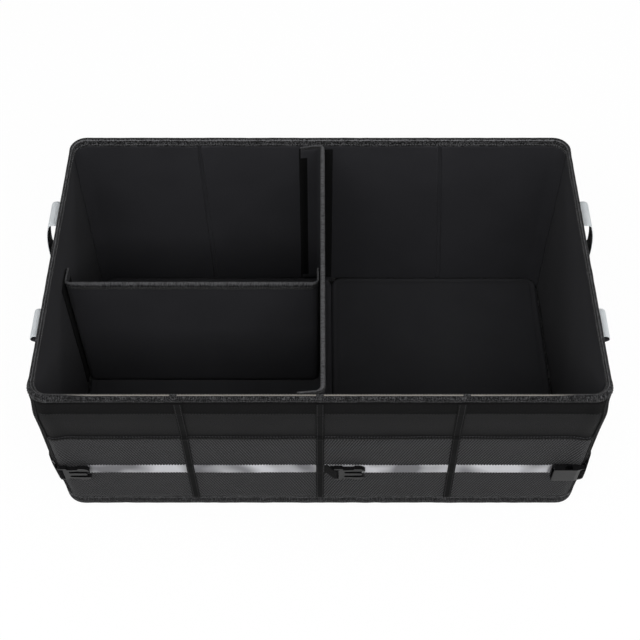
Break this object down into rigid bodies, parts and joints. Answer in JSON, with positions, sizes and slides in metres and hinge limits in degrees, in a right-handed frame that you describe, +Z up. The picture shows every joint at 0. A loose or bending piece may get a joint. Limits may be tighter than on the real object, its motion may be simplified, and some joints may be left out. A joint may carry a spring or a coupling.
{
  "type": "collapsible car boot organizer",
  "caption": "Open fabric boot organizer with stiffened walls, hook-and-loop dividers, a flat net pocket with a reflective stripe, buckle straps and side webbing handles.",
  "frame": {"origin": "on the floor plane, under the middle of the box", "axes": "+X to the right seen from the pocket wall, +Y to the rear wall, +Z up"},
  "size_m": [0.6454, 0.3744, 0.25],
  "materials": {
    "outer_fabric": "matt woven polyester",
    "lining_fabric": "matt coated cloth",
    "stiffener_board": "plain hollow-core board, hidden",
    "knit_tape": "knitted edge tape",
    "pocket_net": "fine diamond net",
    "hook_and_loop": "napped fastening tape",
    "reflective_tape": "silver reflective tape",
    "dark_webbing": "woven tape",
    "grey_webbing": "grey faced webbing, black back",
    "buckle_plastic": "moulded, softly glossy"
  },
  "bodies": {
    "box": {"front_panel": "outer_fabric", "rear_panel": "outer_fabric", "left_panel": "outer_fabric", "right_panel": "outer_fabric", "bottom_panel": "outer_fabric", "front_board_1": "stiffener_board", "front_board_2": "stiffener_board", "front_board_3": "stiffener_board", "front_board_4": "stiffener_board", "rear_board_1": "stiffener_board", "rear_board_2": "stiffener_board", "rear_board_3": "stiffener_board", "rear_board_4": "stiffener_board", "left_board": "stiffener_board", "right_board": "stiffener_board", "front_lining": "lining_fabric", "rear_lining": "lining_fabric", "left_lining": "lining_fabric", "right_lining": "lining_fabric", "rim_binding": "knit_tape", "bottom_binding": "knit_tape", "base_pad_left": "lining_fabric", "base_pad_right": "lining_fabric", "center_divider": "outer_fabric", "center_divider_binding": "knit_tape", "cross_divider": "outer_fabric", "cross_divider_binding": "knit_tape", "center_loop_front": "hook_and_loop", "center_loop_rear": "hook_and_loop", "center_hook_front": "hook_and_loop", "center_hook_rear": "hook_and_loop", "cross_loop_left": "hook_and_loop", "cross_loop_right": "hook_and_loop", "cross_hook_left": "hook_and_loop", "cross_hook_right": "hook_and_loop", "front_grip_band": "hook_and_loop", "pocket_mesh": "pocket_net", "pocket_hem": "knit_tape", "reflective_strip": "reflective_tape", "pocket_tape_1": "dark_webbing", "pocket_tape_2": "dark_webbing", "pocket_tape_3": "dark_webbing", "pocket_tape_4": "dark_webbing", "pocket_tape_5": "dark_webbing", "strap_left": "dark_webbing", "strap_center": "dark_webbing", "strap_right": "dark_webbing", "handle_left": "grey_webbing", "handle_right": "grey_webbing"},
    "left_buckle_half": {"buckle_left": "buckle_plastic"},
    "center_buckle_half": {"buckle_center": "buckle_plastic"},
    "right_buckle_half": {"buckle_right": "buckle_plastic"}
  },
  "joints": [
    {"name": "buckle_left_swing", "type": "hinge", "parent": "box", "child": "left_buckle_half", "pos_m": [-0.291, -0.1844, 0.09154], "axis": [0, 0.0479, -0.9988], "range_deg": [0, 75]},
    {"name": "buckle_center_swing", "type": "hinge", "parent": "box", "child": "center_buckle_half", "pos_m": [0.017, -0.1844, 0.09154], "axis": [0, 0.0479, -0.9988], "range_deg": [0, 75]},
    {"name": "buckle_right_swing", "type": "hinge", "parent": "box", "child": "right_buckle_half", "pos_m": [0.294, -0.1844, 0.09154], "axis": [0, -0.0479, 0.9988], "range_deg": [0, 75]}
  ]
}
